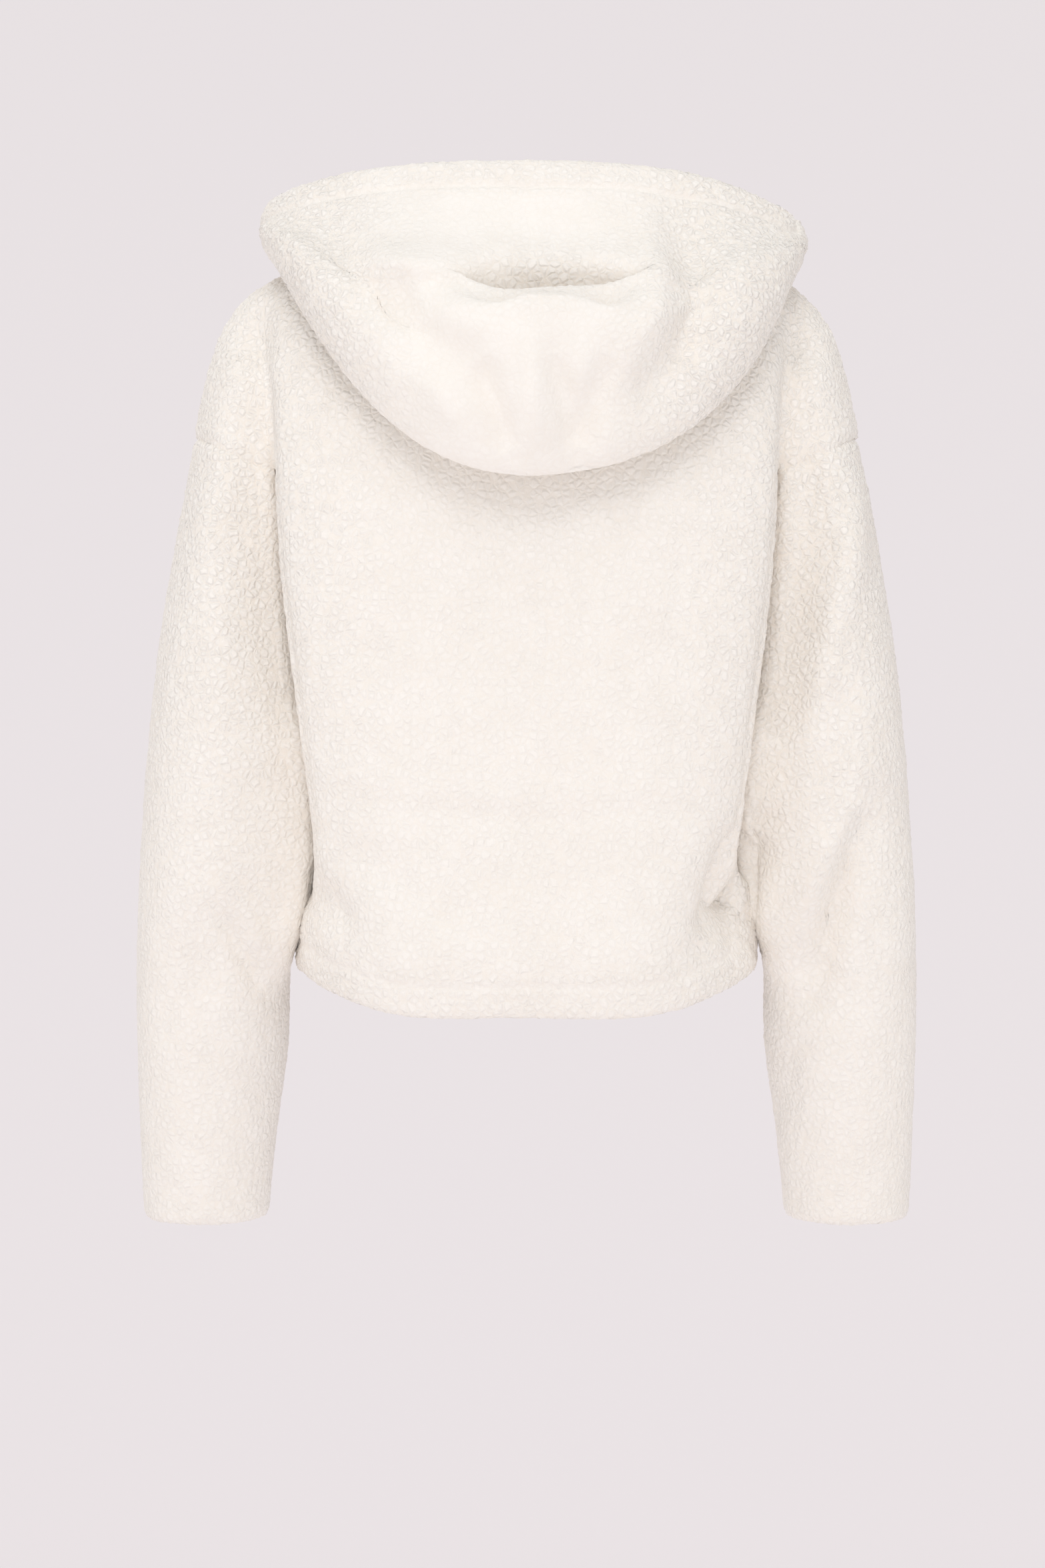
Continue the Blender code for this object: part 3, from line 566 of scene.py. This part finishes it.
# The side panels swell out below the tucks.
HIP_SWELLS = (
    Fold(((-0.128, 0.040, -0.392), (-0.136, 0.020, -0.405), (-0.132, 0.030, -0.425)), 0.022, -0.0110),
    Fold(((0.130, 0.040, -0.400), (0.136, 0.020, -0.425)), 0.020, -0.0040),
)
back = cut_piece("back", 1, under_hood)
pull_cloth(back, BODY_PULLS)
press_folds(back, BODY_FOLDS + HIP_SWELLS)
raise_pile(back, is_body_hem, back_nap, rows=[(is_hem_edge, HEM_INSET, HEM_ROW_DEPTH)])
finish_piece(back, "back")

# Fronts: one panel a side, plain, with the turned edge that the zip is sewn to.
ZIP_EDGE = 0.012


def is_front_free(p):
    """The hem and the zip's edge, which both are turned and free."""
    return is_body_hem(p) | (np.abs(p[:, 0]) < ZIP_EDGE)


def is_front_hem_edge(p):
    return is_hem_edge(p) & (np.abs(p[:, 0]) > ZIP_EDGE)


def front_nap(p):
    """Short at the zip, and as long as elsewhere from 18 mm on."""
    return np.clip((np.abs(p[:, 0]) - 0.008) / 0.012, 0.12, 0.80)


for side, name in ((1, "front_left"), (-1, "front_right")):
    front = cut_piece(name, 1)
    press_folds(front, (
        Fold(((side * 0.105, -0.105, -0.160), (side * 0.120, -0.100, -0.340)), 0.018, 0.003),
        Fold(((side * 0.150, -0.050, -0.060), (side * 0.060, -0.100, -0.150)), 0.018, 0.0025),
        Fold(((side * 0.135, -0.075, -0.390), (side * 0.070, -0.105, -0.400)), 0.012, 0.003),
    ))
    raise_pile(front, is_front_free, front_nap, rows=[(is_front_hem_edge, HEM_INSET, HEM_ROW_DEPTH)])
    finish_piece(front, name)

# Sleeves: one tube a side, dropped from the armhole seam, with a plain turned cuff.
# Its inner side swells over the hip, where it lies against the body.
CUFF_TOP = -0.600
SLEEVE_PULLS = {
    "sleeve_left": Pull(
        ((0.152, 0.025, -0.300), (0.146, 0.020, -0.365), (0.154, 0.012, -0.415)), 0.026, (-0.007, 0.018, 0)
    ),
    "sleeve_right": Pull(
        ((-0.154, 0.020, -0.300), (-0.147, 0.015, -0.360), (-0.158, 0.010, -0.400)), 0.028, (0.007, 0.023, 0)
    ),
}


def is_cuff(p):
    return p[:, 2] < CUFF_TOP


def sleeve_nap(p):
    """Longer on the upper arm than towards the cuff."""
    return 0.62 + 0.20 * np.clip((p[:, 2] + 0.45) / 0.30, 0, 1)


for name, swell in SLEEVE_PULLS.items():
    sleeve = cut_piece(name, 2)
    pull_cloth(sleeve, BODY_PULLS)
    pull_cloth(sleeve, [swell], held=0.020)
    press_folds(sleeve, BODY_FOLDS)
    raise_pile(sleeve, is_cuff, sleeve_nap)
    finish_piece(sleeve, name)

# Hood: two halves with a centre seam, thrown back so that its crown has sunk behind a lip. The edge of its
# face opening is turned in and stitched 20 mm from the edge.
RIM_INSET = 0.020
RIM_ROW_DEPTH = 0.0017
HOOD_SEAM_SINK = 0.0002
HOOD_FRONT = 0.050
HOOD_FOLDS = (
    # the left of the picture: the valley outside the shelf's edge, and the edge itself
    Fold(((0.132, 0.036), (0.116, 0.010), (0.093, -0.014), (0.064, -0.044), (0.034, -0.070)), 0.018, 0.0175),
    Fold(((0.104, 0.020), (0.084, -0.002), (0.050, -0.030)), 0.010, -0.0040),
    # the right: the same, deeper and longer
    Fold(((-0.098, 0.044), (-0.106, 0.008), (-0.111, -0.018), (-0.105, -0.048), (-0.086, -0.072),
          (-0.062, -0.090)), 0.018, 0.0190),
    Fold(((-0.080, 0.030), (-0.084, 0.000), (-0.082, -0.030), (-0.062, -0.054)), 0.010, -0.0050),
    # folds that run down from the lip to the tail
    Fold(((0.033, -0.058), (0.023, -0.084), (0.010, -0.120)), 0.010, 0.0110),
    Fold(((0.062, -0.068), (0.040, -0.102)), 0.009, -0.0035),
    Fold(((-0.018, -0.056), (-0.026, -0.086), (-0.032, -0.120)), 0.009, 0.0105),
    Fold(((-0.052, -0.056), (-0.043, -0.084), (-0.031, -0.116)), 0.009, 0.0100),
    Fold(((-0.004, -0.050), (-0.004, -0.120)), 0.007, -0.0040),
)
# The lip sags on both sides of its peak, the hollow behind it goes lower, and beside it the shelf rolls over.
HOOD_PULLS = (
    Pull(((0.030, 0.119, -0.012), (-0.060, 0.119, -0.012)), 0.013, (0, 0, -0.024)),
    Pull(((0.030, 0.152, -0.007), (-0.055, 0.152, -0.007)), 0.013, (0, 0, -0.010)),
    Pull(((0.019, 0.152, -0.012), (0.017, 0.152, -0.014)), 0.011, (0, -0.002, -0.012)),
    Pull(((-0.046, 0.152, -0.012), (-0.048, 0.151, -0.014)), 0.010, (0, -0.002, -0.013)),
    Pull(((0.020, 0.102, 0.006), (-0.046, 0.102, 0.006)), 0.016, (0, 0.010, 0)),
    Pull(((0.074, 0.146, -0.010), (0.046, 0.152, -0.012)), 0.017, (0, -0.012, 0)),
    Pull(((-0.072, 0.148, -0.010), (-0.084, 0.145, -0.010)), 0.017, (0, -0.009, 0)),
    Pull(((0.072, 0.116, 0.005), (0.044, 0.112, 0.003)), 0.016, (0, 0.015, -0.003)),
    Pull(((-0.066, 0.108, 0.003), (-0.080, 0.111, 0.005)), 0.016, (0, 0.012, -0.003)),
)


def hood_nap(p):
    """Long at the sides and in the hollow, where it also deepens the cracks' painted shade; less so at the
    rim, and short on the shelf and below the lip.
    """
    rim = np.clip((p[:, 2] - 0.050 - 0.3 * (0.084 - p[:, 1])) / 0.008, 0, 1)
    sides = np.clip((np.abs(p[:, 0] - 0.010) - 0.040) / 0.075, 0, 1)
    # Painted shade: the hollow behind the lip gets a longer nap, so its cracks tint darker as well as
    # standing taller.
    hollow_nap_and_shade = bell(np.hypot((p[:, 0] + 0.014) / 0.060, (p[:, 2] + 0.002) / 0.024), 1.0)
    return 0.40 + 0.48 * np.maximum(np.maximum(rim * 0.6, sides * 0.9), hollow_nap_and_shade * 0.85)


def is_hood_rim(p):
    """The edge of the face opening: above the neck seam, and clear of the centre seam but at its top."""
    above = p[:, 2] > np.minimum(0.055, 0.0615 + 0.86 * p[:, 1])
    return above & ((np.abs(p[:, 0]) > 0.003) | (p[:, 2] > 0.0765))


def is_free_rim(p):
    """The hood's free edge, but not the two halves' seam."""
    return is_hood_rim(p) & (np.abs(p[:, 0]) > ON_SEAM)


for name in ("hood_left", "hood_right"):
    hood = cut_piece(name, 2)
    pull_cloth(hood, HOOD_PULLS)
    press_folds(hood, HOOD_FOLDS, behind=HOOD_FRONT)
    raise_pile(
        hood, is_free_rim, hood_nap, rows=[(is_hood_rim, RIM_INSET, RIM_ROW_DEPTH)], seam=HOOD_SEAM_SINK
    )
    finish_piece(hood, name)

# Zip: two woven tapes with corded edges, closed by two rows of teeth 2.6 mm apart. It is sewn between the
# fronts, from the hem's box to the neckline.
PITCH = 0.0026
TAPE_HALF = 0.0074
TAPE_UNDER = -0.0010
TAPE_END = 0.0006
STRIP_THICK = 0.0012
STRIP_MATCH = 1.5e-4
TAPE_STEP = 0.004
FIRST_TOOTH = 0.004
TEETH_SHORT = 0.012
ROUND_ANGLE = 0.6

tape_cloth, where, shader = new_material("zip_tape_weave", Roughness=0.85, Specular_IOR_Level=0.2)
weave = where.waves("DIAGONAL", 420.0, Distortion=0.4) * 0.6 + where.waves("X", 700.0) * 0.4
connect(weave.tint((0.76, 0.70, 0.62, 1), (0.90, 0.855, 0.79, 1)), shader, "Base Color")
emboss(weave, shader, 0.5, 0.0003)

metal, where, shader = new_material("brushed_nickel", Metallic=1.0)
brushed = where.noise(900.0, 3.0)
smears = where.noise(160.0, 4.0)
connect(smears.between(0.3, 0.7).tint((0.62, 0.61, 0.59, 1), (0.78, 0.77, 0.75, 1)), shader, "Base Color")
connect(smears * 0.25 + 0.22, shader, "Roughness")
emboss(brushed, shader, 0.25, 0.0001)

# The zip's line is the front one of the two edges at the left side of its solid, from the top to the hem.
strip = read(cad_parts["zip_strip"].data.vertices, "co")
edge_points = np.unique(np.round(strip[strip[:, 0] > TAPE_HALF], 6), axis=0)
edge_points = edge_points[np.argsort(-edge_points[:, 2])]
line = []
for p in edge_points:
    has_partner = any(
        abs(np.linalg.norm(q[1:] - p[1:]) - STRIP_THICK) < STRIP_MATCH and q[1] > p[1] for q in edge_points
    )
    if has_partner and (not line or np.linalg.norm(line[-1] - p[1:]) > TAPE_STEP):
        line.append(p[1:])
line = np.array(line)
line_reach = np.concatenate([[0], np.cumsum(np.linalg.norm(np.diff(line, axis=0), axis=1))])


def on_line(run):
    return np.array([np.interp(run, line_reach, line[:, k]) for k in (0, 1)])


def zip_frame(run):
    """The matrix of the zip's own directions at a run down it: x across, y down, z out of the tape's face."""
    y, z = on_line(run)
    ahead, behind = on_line(min(run + TAPE_STEP, line_reach[-1])), on_line(max(run - TAPE_STEP, 0.0))
    down = Vector((0, *(ahead - behind))).normalized()
    out = Vector((0, down.z, -down.y))
    return Matrix((
        (1, 0, 0, 0), (0, down.y, out.y, y), (0, down.z, out.z, z), (0, 0, 0, 1),
    ))


def round_edges(thing, width, segments):
    """Rounds the sharp edges of the active object."""
    rounding = thing.modifiers.new("rounding", "BEVEL")
    rounding.width = width
    rounding.segments = segments
    rounding.limit_method = "ANGLE"
    bpy.ops.object.modifier_apply(modifier="rounding")


def block(name, x, y, z, bevel, segments=2, taper=1.0):
    """A block between two values along each of the zip's directions, narrowed to taper at its lower end."""
    deselect()
    bpy.ops.mesh.primitive_cube_add(size=1)
    made = bpy.context.object
    made.name = name
    for vertex in made.data.vertices:
        across = vertex.co.x * (taper if vertex.co.y > 0 else 1.0) + 0.5
        vertex.co = (
            x[0] + (x[1] - x[0]) * across, y[0] + (y[1] - y[0]) * (vertex.co.y + 0.5),
            z[0] + (z[1] - z[0]) * (vertex.co.z + 0.5),
        )
    round_edges(made, bevel, segments)
    return made


def joined(name, pieces, material, matrix=None):
    """One mesh object of all pieces, with its place in its mesh, smooth but for its sharp edges."""
    deselect()
    for piece in pieces:
        piece.select_set(True)
    bpy.context.view_layer.objects.active = pieces[0]
    if len(pieces) > 1:
        bpy.ops.object.join()
    made = bpy.context.object
    made.name = name
    if matrix is not None:
        made.data.transform(matrix)
    made.data.materials.clear()
    made.data.materials.append(material)
    deselect()
    made.select_set(True)
    bpy.ops.object.mode_set(mode="EDIT")
    bpy.ops.mesh.select_all(action="SELECT")
    bpy.ops.mesh.normals_make_consistent(inside=False)
    bpy.ops.object.mode_set(mode="OBJECT")
    bpy.ops.object.shade_smooth_by_angle(angle=ROUND_ANGLE)
    return made


def tape(side):
    """One woven tape: a thin strip along the zip, thicker at the corded edge that holds the teeth."""
    across = ((0.0013, 0.0001), (0.0022, 0.0004), (0.0030, 0.0001), (0.0035, -0.0002), (TAPE_HALF, -0.0002))
    steps = np.arange(TAPE_END, line_reach[-1] - TAPE_END, TAPE_STEP)
    bm = bmesh.new()
    rings = []
    for run in steps:
        matrix = zip_frame(run)
        top = [matrix @ Vector((side * x, 0, z)) for x, z in across]
        under = [matrix @ Vector((side * x, 0, TAPE_UNDER)) for x, _ in reversed(across)]
        rings.append([bm.verts.new(p) for p in top + under])
    count = len(rings[0])
    for above, below in zip(rings, rings[1:]):
        for k in range(count):
            bm.faces.new((above[k], above[(k + 1) % count], below[(k + 1) % count], below[k]))
    bm.faces.new(rings[0])
    bm.faces.new(reversed(rings[-1]))
    mesh = bpy.data.meshes.new("tape")
    bm.to_mesh(mesh)
    bm.free()
    made = bpy.data.objects.new("tape", mesh)
    bpy.context.scene.collection.objects.link(made)
    return made


tapes = joined("zip_tapes", [tape(1), tape(-1)], tape_cloth)
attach(tapes, "jacket")
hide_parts("zip_strip")

# Teeth: each is a small pressed block that grips the tape's cord and ends in a rounded head past the middle.
tooth = joined("tooth", [
    block("tooth_body", (0.0009, 0.0030), (-0.00062, 0.00062), (-0.0011, 0.00125), 0.0003, 1),
    block("tooth_head", (-0.0008, 0.0010), (-0.00050, 0.00050), (-0.0008, 0.00095), 0.0003, 1),
], metal)
copies = []
for k in range(int((line_reach[-1] - TEETH_SHORT) / (PITCH / 2))):
    copy = tooth.copy()
    copy.data = tooth.data.copy()
    bpy.context.scene.collection.objects.link(copy)
    turn = Matrix.Rotation(math.pi, 4, "Z") if k % 2 else Matrix.Identity(4)
    copy.data.transform(zip_frame(FIRST_TOOTH + k * PITCH / 2) @ turn)
    copies.append(copy)
bpy.data.objects.remove(tooth)
teeth = joined("zip_teeth", copies, metal)
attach(teeth, "jacket")

# Slider: two plates round the teeth, wider at the top where the rows part, held by a post, with a bridge on
# two feet. The box at the hem is the closed end of the zip.
SLIDER_LONG = (-0.0034, 0.0076)
SLIDER_FOOT = (0.0014, 0.0047)
BRIDGE_WIDE = (-0.0010, 0.0010)
BOX_WIDE = (-0.0048, 0.0048)
BOX_LONG = (-0.0080, 0.0020)
PLATE_OVER = (0.0005, 0.0018)
SLIDER = Matrix((
    (1, 0, 0, 0), (0, -0.3853, -0.9228, -0.08274), (0, -0.9228, 0.3853, -0.06762), (0, 0, 0, 1),
))
slider = joined("zip_slider_body", [
    block("front_plate", (-0.0045, 0.0045), SLIDER_LONG, PLATE_OVER, 0.0005, 3, 0.80),
    block("back_plate", (-0.0036, 0.0036), SLIDER_LONG, (-0.0040, -0.0028), 0.0004, 2, 0.85),
    block("post", (-0.0012, 0.0012), (-0.0028, -0.0004), (-0.0030, 0.0008), 0.0003),
    block("upper_foot", BRIDGE_WIDE, (-0.0008, 0.0003), SLIDER_FOOT, 0.0003),
    block("lower_foot", BRIDGE_WIDE, (0.0037, 0.0048), SLIDER_FOOT, 0.0003),
    block("bridge", BRIDGE_WIDE, (-0.0008, 0.0048), (0.0039, 0.0050), 0.0004, 3),
], metal, SLIDER)
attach(slider, "jacket")
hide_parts("zip_slider")

hem_box = joined("zip_hem_box", [
    block("box_front", BOX_WIDE, BOX_LONG, PLATE_OVER, 0.0004, 3),
    block("box_back", BOX_WIDE, BOX_LONG, (-0.0041, -0.0028), 0.0004, 3),
    block("box_floor", BOX_WIDE, (0.0008, 0.0020), (-0.0041, 0.0018), 0.0004, 3),
    block("box_rib", (-0.0008, 0.0008), (-0.0070, 0.0010), (0.0014, 0.0022), 0.0003),
], metal, zip_frame(line_reach[-1]) @ Matrix.Translation((0, 0, 0.0011)))
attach(hem_box, "jacket")
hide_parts("zip_box")

# Pull tab: a flat plate with an eye that hangs on the slider's bridge, its corners rounded, with a raised pad
# on its lower part. It is the only piece that swings.
TAB_WIDE = 0.0070
TAB_LONG = 0.02365
TAB_MIDDLE = 0.01318
TAB_FACE = 0.00215
TAB_THICK = 0.0013
TAB_CORNER = 0.0016
EYE_HALF = 0.0018
EYE_TOP = 0.00265
EYE_FOOT = 0.0066
PAD_TOP = 0.0100
deselect()
bpy.ops.mesh.primitive_plane_add(size=1)
pull = bpy.context.object
for vertex in pull.data.vertices:
    vertex.co = (vertex.co.x * TAB_WIDE, TAB_MIDDLE + vertex.co.y * TAB_LONG, TAB_FACE)
bpy.ops.object.mode_set(mode="EDIT")
for at, normal in (
    ((-EYE_HALF, 0, 0), (1, 0, 0)), ((EYE_HALF, 0, 0), (1, 0, 0)),
    ((0, EYE_TOP, 0), (0, 1, 0)), ((0, EYE_FOOT, 0), (0, 1, 0)), ((0, PAD_TOP, 0), (0, 1, 0)),
):
    bpy.ops.mesh.select_all(action="SELECT")
    bpy.ops.mesh.bisect(plane_co=at, plane_no=normal)
bpy.ops.object.mode_set(mode="OBJECT")
bm = bmesh.new()
bm.from_mesh(pull.data)
centres = {face: face.calc_center_median() for face in bm.faces}
eye = [face for face, at in centres.items() if abs(at.x) < EYE_HALF and EYE_TOP < at.y < EYE_FOOT]
bmesh.ops.delete(bm, geom=eye, context="FACES")
corners = [v for v in bm.verts if abs(v.co.x) > 0.0034 and (v.co.y < 0.0015 or v.co.y > 0.0249)]
bmesh.ops.bevel(bm, geom=corners, offset=TAB_CORNER, segments=4, affect="VERTICES", profile=0.5)
bm.to_mesh(pull.data)
bm.free()
plate = pull.modifiers.new("plate", "SOLIDIFY")
plate.thickness = TAB_THICK
plate.offset = 1.0
bpy.ops.object.modifier_apply(modifier="plate")
round_edges(pull, 0.00025, 2)
pull = joined("zip_pull_plate", [
    pull, block("pull_pad", (-0.0022, 0.0022), (0.0118, 0.0232), (0.00200, 0.00360), 0.0003, 2),
], metal, SLIDER)
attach(pull, "pull_tab")
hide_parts("zip_pull_tab")

# Floor and backdrop: one plain pale sheet that sweeps up behind the jacket and glows a little.
paper, _, _ = new_material(
    "pale_paper", Roughness=1.0, Specular_IOR_Level=0.0, Emission_Strength=0.45,
    Base_Color=(0.50, 0.475, 0.48, 1), Emission_Color=(0.96, 0.915, 0.935, 1),
)
BACKDROP_Y = -4.6
FLOOR_Z = -2.1
FLOOR_FRONT = 7.0
PAPER_WIDE = 16
PAPER_HIGH = 6.0
CURVE_WIDE = 0.35
CURVE_STEPS = 10
deselect()
bpy.ops.mesh.primitive_plane_add(size=1, location=(0, 0, 0))
sweep = bpy.context.object
sweep.name = "paper_sweep"
for vertex in sweep.data.vertices:
    vertex.co = (vertex.co.x * PAPER_WIDE, FLOOR_FRONT if vertex.co.y > 0 else BACKDROP_Y, FLOOR_Z)
bpy.ops.object.mode_set(mode="EDIT")
bpy.ops.mesh.select_all(action="DESELECT")
bpy.ops.object.mode_set(mode="OBJECT")
for edge in sweep.data.edges:
    edge.select = all(abs(sweep.data.vertices[v].co.y - BACKDROP_Y) < 1e-6 for v in edge.vertices)
bpy.ops.object.mode_set(mode="EDIT")
bpy.ops.mesh.select_mode(type="EDGE")
bpy.ops.mesh.extrude_region_move(TRANSFORM_OT_translate={"value": (0, 0, PAPER_HIGH)})
bpy.ops.object.mode_set(mode="OBJECT")
curve = sweep.modifiers.new("curve", "BEVEL")
curve.width = CURVE_WIDE
curve.segments = CURVE_STEPS
bpy.ops.object.modifier_apply(modifier="curve")
for face in sweep.data.polygons:
    face.use_smooth = True
sweep.data.materials.append(paper)

# Light: an even pale room with large soft windows: the key above the camera, a cool one right above for the
# hood's shelf, one below the camera, a weak one at each side, and one for the front.
LIT_POINT = (0, 0, -0.3)
world = bpy.data.worlds.new("room")
bpy.context.scene.world = world
world.use_nodes = True
background = world.node_tree.nodes["Background"]
background.inputs["Color"].default_value = (1.0, 0.985, 0.975, 1)
background.inputs["Strength"].default_value = 0.575


def window(name, place, size, power, colour=(1, 1, 1)):
    """A square soft light of a size in metres and a power in watts, turned to the middle of the jacket."""
    deselect()
    bpy.ops.object.light_add(type="AREA", location=place)
    light = bpy.context.object
    light.name = name
    light.data.size = size
    light.data.energy = power
    light.data.color = colour
    light.rotation_euler = (Vector(LIT_POINT) - Vector(place)).to_track_quat("-Z", "Y").to_euler()


window("window_key", (0.2, 2.4, 2.2), 1.6, 24)
window("window_above", (0.1, 0.6, 2.5), 1.6, 11, (0.94, 0.98, 1.0))
window("window_low", (0.1, 3.0, -1.3), 1.6, 16)
window("window_left", (2.6, 0.9, 0.0), 1.8, 9)
window("window_right", (-2.6, 0.9, 0.0), 1.8, 8)
window("window_front", (0.6, -2.4, 1.0), 1.8, 26)
bpy.context.scene.view_settings.view_transform = "Standard"
